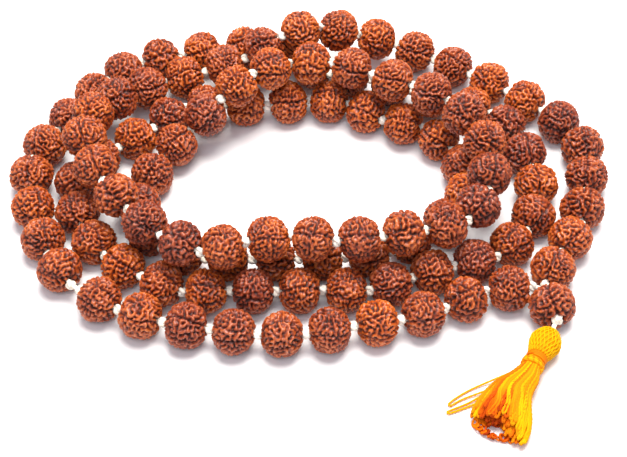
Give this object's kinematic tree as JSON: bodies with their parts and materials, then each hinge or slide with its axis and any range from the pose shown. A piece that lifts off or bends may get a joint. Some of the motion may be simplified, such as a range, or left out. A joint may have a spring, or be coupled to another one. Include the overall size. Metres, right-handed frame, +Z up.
{
  "type": "prayer beads",
  "caption": "Mala of rudraksha beads knotted on a white cotton thread, laid in four turns, with a guru bead and a yellow and orange tassel.",
  "frame": {"origin": "On the floor under the middle of the lay, at the centre of its bounding box in plan", "axes": "+Z up from the floor, +X along the longest side of the lay, -Y towards the tassel"},
  "size_m": [0.1495, 0.1355, 0.0216],
  "materials": {
    "rudraksha_seed": "deep-wrinkled dried seed, rubbed smooth and faintly glossy on its ridges",
    "white_cotton_cord": "twisted cotton, matt",
    "yellow_thread": "fine twisted thread, netted, soft sheen",
    "orange_thread": "fine twisted thread, wound, soft sheen",
    "skirt_thread": "loose strands from yellow to deep orange, soft sheen",
    "loop_thread": "small curled strand ends, brownish orange"
  },
  "bodies": {
    "strand": {"thread": "white_cotton_cord", "strand_knots": "white_cotton_cord", "guru_knot": "white_cotton_cord", "beads_46_to_76": "rudraksha_seed", "beads_77_to_108": "rudraksha_seed"},
    "guru": {"guru_bead": "rudraksha_seed"},
    "bead_01": {"bead_01": "rudraksha_seed"},
    "bead_02": {"bead_02": "rudraksha_seed"},
    "bead_03": {"bead_03": "rudraksha_seed"},
    "bead_04": {"bead_04": "rudraksha_seed"},
    "bead_05": {"bead_05": "rudraksha_seed"},
    "bead_06": {"bead_06": "rudraksha_seed"},
    "bead_07": {"bead_07": "rudraksha_seed"},
    "bead_08": {"bead_08": "rudraksha_seed"},
    "bead_09": {"bead_09": "rudraksha_seed"},
    "bead_10": {"bead_10": "rudraksha_seed"},
    "bead_11": {"bead_11": "rudraksha_seed"},
    "bead_12": {"bead_12": "rudraksha_seed"},
    "bead_13": {"bead_13": "rudraksha_seed"},
    "bead_14": {"bead_14": "rudraksha_seed"},
    "bead_15": {"bead_15": "rudraksha_seed"},
    "bead_16": {"bead_16": "rudraksha_seed"},
    "bead_17": {"bead_17": "rudraksha_seed"},
    "bead_18": {"bead_18": "rudraksha_seed"},
    "bead_19": {"bead_19": "rudraksha_seed"},
    "bead_20": {"bead_20": "rudraksha_seed"},
    "bead_21": {"bead_21": "rudraksha_seed"},
    "bead_22": {"bead_22": "rudraksha_seed"},
    "bead_23": {"bead_23": "rudraksha_seed"},
    "bead_24": {"bead_24": "rudraksha_seed"},
    "bead_25": {"bead_25": "rudraksha_seed"},
    "bead_26": {"bead_26": "rudraksha_seed"},
    "bead_27": {"bead_27": "rudraksha_seed"},
    "bead_28": {"bead_28": "rudraksha_seed"},
    "bead_29": {"bead_29": "rudraksha_seed"},
    "bead_30": {"bead_30": "rudraksha_seed"},
    "bead_31": {"bead_31": "rudraksha_seed"},
    "bead_32": {"bead_32": "rudraksha_seed"},
    "bead_33": {"bead_33": "rudraksha_seed"},
    "bead_34": {"bead_34": "rudraksha_seed"},
    "bead_35": {"bead_35": "rudraksha_seed"},
    "bead_36": {"bead_36": "rudraksha_seed"},
    "bead_37": {"bead_37": "rudraksha_seed"},
    "bead_38": {"bead_38": "rudraksha_seed"},
    "bead_39": {"bead_39": "rudraksha_seed"},
    "bead_40": {"bead_40": "rudraksha_seed"},
    "bead_41": {"bead_41": "rudraksha_seed"},
    "bead_42": {"bead_42": "rudraksha_seed"},
    "bead_43": {"bead_43": "rudraksha_seed"},
    "bead_44": {"bead_44": "rudraksha_seed"},
    "bead_45": {"bead_45": "rudraksha_seed"},
    "tie": {"tassel_tie": "white_cotton_cord"},
    "tassel_head": {"head_core": "yellow_thread", "head_cover": "yellow_thread", "neck_wrap": "orange_thread", "band_wrap": "orange_thread"},
    "tassel_skirt": {"skirt_core": "skirt_thread", "skirt_outer": "skirt_thread", "skirt_tips": "loop_thread", "stray_threads": "skirt_thread"}
  },
  "joints": [
    {"name": "tassel_swing", "type": "hinge", "parent": "strand", "child": "tie", "pos_m": [0.05795, -0.03363, 0.00525], "axis": [0, 0, 1], "range_deg": [-20, 60]},
    {"name": "tassel_lift", "type": "hinge", "parent": "tie", "child": "tassel_head", "pos_m": [0.05659, -0.03619, 0.0042], "axis": [-0.8829, 0.4695, 0], "range_deg": [0, 50]},
    {"name": "skirt_flex", "type": "hinge", "parent": "tassel_head", "child": "tassel_skirt", "pos_m": [0.04931, -0.04988, 0.0039], "axis": [-0.8829, 0.4695, 0], "range_deg": [0, 30]},
    {"name": "guru_spin", "type": "hinge", "parent": "strand", "child": "guru", "pos_m": [0.0572, -0.0294, 0.00525], "axis": [0.1736, -0.9848, 0], "continuous": true},
    {"name": "bead_01_spin", "type": "hinge", "parent": "strand", "child": "bead_01", "pos_m": [0.04745, -0.02397, 0.00525], "axis": [-0.9924, -0.1233, 0], "continuous": true},
    {"name": "bead_02_spin", "type": "hinge", "parent": "strand", "child": "bead_02", "pos_m": [0.03698, -0.02732, 0.00525], "axis": [-0.8787, -0.4773, 0], "continuous": true},
    {"name": "bead_03_spin", "type": "hinge", "parent": "strand", "child": "bead_03", "pos_m": [0.0268, -0.03186, 0.00525], "axis": [-0.9424, -0.3346, 0], "continuous": true},
    {"name": "bead_04_spin", "type": "hinge", "parent": "strand", "child": "bead_04", "pos_m": [0.01597, -0.03464, 0.00525], "axis": [-0.9868, -0.162, 0], "continuous": true},
    {"name": "bead_05_spin", "type": "hinge", "parent": "strand", "child": "bead_05", "pos_m": [0.0049, -0.03674, 0.00525], "axis": [-0.9778, -0.2097, 0], "continuous": true},
    {"name": "bead_06_spin", "type": "hinge", "parent": "strand", "child": "bead_06", "pos_m": [-0.00621, -0.0379, 0.00525], "axis": [-1, 0.0039, 0], "continuous": true},
    {"name": "bead_07_spin", "type": "hinge", "parent": "strand", "child": "bead_07", "pos_m": [-0.0174, -0.03705, 0.00525], "axis": [-0.9893, 0.146, 0], "continuous": true},
    {"name": "bead_08_spin", "type": "hinge", "parent": "strand", "child": "bead_08", "pos_m": [-0.02852, -0.03519, 0.00525], "axis": [-0.983, 0.1837, 0], "continuous": true},
    {"name": "bead_09_spin", "type": "hinge", "parent": "strand", "child": "bead_09", "pos_m": [-0.03931, -0.03216, 0.00525], "axis": [-0.9346, 0.3558, 0], "continuous": true},
    {"name": "bead_10_spin", "type": "hinge", "parent": "strand", "child": "bead_10", "pos_m": [-0.04932, -0.02712, 0.00525], "axis": [-0.8431, 0.5378, 0], "continuous": true},
    {"name": "bead_11_spin", "type": "hinge", "parent": "strand", "child": "bead_11", "pos_m": [-0.05948, -0.01759, 0.00525], "axis": [-0.5421, 0.8403, 0], "continuous": true},
    {"name": "bead_12_spin", "type": "hinge", "parent": "strand", "child": "bead_12", "pos_m": [-0.06439, -0.00758, 0.00525], "axis": [-0.3344, 0.9424, 0], "continuous": true},
    {"name": "bead_13_spin", "type": "hinge", "parent": "strand", "child": "bead_13", "pos_m": [-0.06784, 0.00315, 0.00525], "axis": [-0.2763, 0.9611, 0], "continuous": true},
    {"name": "bead_14_spin", "type": "hinge", "parent": "strand", "child": "bead_14", "pos_m": [-0.06943, 0.01418, 0.00525], "axis": [-0.0069, 1, 0], "continuous": true},
    {"name": "bead_15_spin", "type": "hinge", "parent": "strand", "child": "bead_15", "pos_m": [-0.06711, 0.02489, 0.00525], "axis": [0.4205, 0.9073, 0], "continuous": true},
    {"name": "bead_16_spin", "type": "hinge", "parent": "strand", "child": "bead_16", "pos_m": [-0.06165, 0.03469, 0.00525], "axis": [0.5503, 0.835, 0], "continuous": true},
    {"name": "bead_17_spin", "type": "hinge", "parent": "strand", "child": "bead_17", "pos_m": [-0.05571, 0.04426, 0.00525], "axis": [0.5036, 0.864, 0], "continuous": true},
    {"name": "bead_18_spin", "type": "hinge", "parent": "strand", "child": "bead_18", "pos_m": [-0.04879, 0.05269, 0.00525], "axis": [0.7535, 0.6574, 0], "continuous": true},
    {"name": "bead_19_spin", "type": "hinge", "parent": "strand", "child": "bead_19", "pos_m": [-0.03925, 0.05773, 0.00525], "axis": [0.9655, 0.2602, 0], "continuous": true},
    {"name": "bead_20_spin", "type": "hinge", "parent": "strand", "child": "bead_20", "pos_m": [-0.02831, 0.06047, 0.00525], "axis": [0.9741, 0.2261, 0], "continuous": true},
    {"name": "bead_21_spin", "type": "hinge", "parent": "strand", "child": "bead_21", "pos_m": [-0.01723, 0.06239, 0.00525], "axis": [0.9933, 0.1153, 0], "continuous": true},
    {"name": "bead_22_spin", "type": "hinge", "parent": "strand", "child": "bead_22", "pos_m": [-0.00728, 0.05995, 0.00525], "axis": [0.8152, -0.5792, 0], "continuous": true},
    {"name": "bead_23_spin", "type": "hinge", "parent": "strand", "child": "bead_23", "pos_m": [0.00133, 0.05422, 0.00525], "axis": [0.8504, -0.5262, 0], "continuous": true},
    {"name": "bead_24_spin", "type": "hinge", "parent": "strand", "child": "bead_24", "pos_m": [0.01101, 0.05062, 0.00525], "axis": [0.9843, -0.1764, 0], "continuous": true},
    {"name": "bead_25_spin", "type": "hinge", "parent": "strand", "child": "bead_25", "pos_m": [0.02158, 0.04733, 0.00525], "axis": [0.9121, -0.41, 0], "continuous": true},
    {"name": "bead_26_spin", "type": "hinge", "parent": "strand", "child": "bead_26", "pos_m": [0.03196, 0.04294, 0.00525], "axis": [0.9296, -0.3687, 0], "continuous": true},
    {"name": "bead_27_spin", "type": "hinge", "parent": "strand", "child": "bead_27", "pos_m": [0.0423, 0.03855, 0.00525], "axis": [0.9106, -0.4132, 0], "continuous": true},
    {"name": "bead_28_spin", "type": "hinge", "parent": "strand", "child": "bead_28", "pos_m": [0.05029, 0.03149, 0.00525], "axis": [0.5179, -0.8554, 0], "continuous": true},
    {"name": "bead_29_spin", "type": "hinge", "parent": "strand", "child": "bead_29", "pos_m": [0.05469, 0.02132, 0.00525], "axis": [0.2724, -0.9622, 0], "continuous": true},
    {"name": "bead_30_spin", "type": "hinge", "parent": "strand", "child": "bead_30", "pos_m": [0.05667, 0.01031, 0.00525], "axis": [0.0798, -0.9968, 0], "continuous": true},
    {"name": "bead_31_spin", "type": "hinge", "parent": "strand", "child": "bead_31", "pos_m": [0.05507, -0.00049, 0.00525], "axis": [-0.3665, -0.9304, 0], "continuous": true},
    {"name": "bead_32_spin", "type": "hinge", "parent": "strand", "child": "bead_32", "pos_m": [0.04911, -0.00974, 0.00525], "axis": [-0.6958, -0.7182, 0], "continuous": true},
    {"name": "bead_33_spin", "type": "hinge", "parent": "strand", "child": "bead_33", "pos_m": [0.03993, -0.0153, 0.00525], "axis": [-0.9602, -0.2794, 0], "continuous": true},
    {"name": "bead_34_spin", "type": "hinge", "parent": "strand", "child": "bead_34", "pos_m": [0.02959, -0.01878, 0.00525], "axis": [-0.9332, -0.3593, 0], "continuous": true},
    {"name": "bead_35_spin", "type": "hinge", "parent": "strand", "child": "bead_35", "pos_m": [0.01951, -0.02254, 0.00525], "axis": [-0.9405, -0.3399, 0], "continuous": true},
    {"name": "bead_36_spin", "type": "hinge", "parent": "strand", "child": "bead_36", "pos_m": [0.00894, -0.02432, 0.00525], "axis": [-1, 0.0068, 0], "continuous": true},
    {"name": "bead_37_spin", "type": "hinge", "parent": "strand", "child": "bead_37", "pos_m": [-0.00215, -0.02443, 0.00525], "axis": [-0.9996, -0.0267, 0], "continuous": true},
    {"name": "bead_38_spin", "type": "hinge", "parent": "strand", "child": "bead_38", "pos_m": [-0.0132, -0.02452, 0.00525], "axis": [-0.9999, 0.0115, 0], "continuous": true},
    {"name": "bead_39_spin", "type": "hinge", "parent": "strand", "child": "bead_39", "pos_m": [-0.02426, -0.02459, 0.00525], "axis": [-0.9997, -0.0252, 0], "continuous": true},
    {"name": "bead_40_spin", "type": "hinge", "parent": "strand", "child": "bead_40", "pos_m": [-0.03487, -0.02229, 0.00525], "axis": [-0.9004, 0.435, 0], "continuous": true},
    {"name": "bead_41_spin", "type": "hinge", "parent": "strand", "child": "bead_41", "pos_m": [-0.04442, -0.01647, 0.00525], "axis": [-0.7996, 0.6006, 0], "continuous": true},
    {"name": "bead_42_spin", "type": "hinge", "parent": "strand", "child": "bead_42", "pos_m": [-0.05203, -0.00857, 0.00525], "axis": [-0.5665, 0.8241, 0], "continuous": true},
    {"name": "bead_43_spin", "type": "hinge", "parent": "strand", "child": "bead_43", "pos_m": [-0.05684, 0.00125, 0.00525], "axis": [-0.3056, 0.9522, 0], "continuous": true},
    {"name": "bead_44_spin", "type": "hinge", "parent": "strand", "child": "bead_44", "pos_m": [-0.05789, 0.01176, 0.00525], "axis": [0.1234, 0.9924, 0], "continuous": true},
    {"name": "bead_45_spin", "type": "hinge", "parent": "strand", "child": "bead_45", "pos_m": [-0.05286, 0.02041, 0.00525], "axis": [0.7864, 0.6177, 0], "continuous": true}
  ]
}
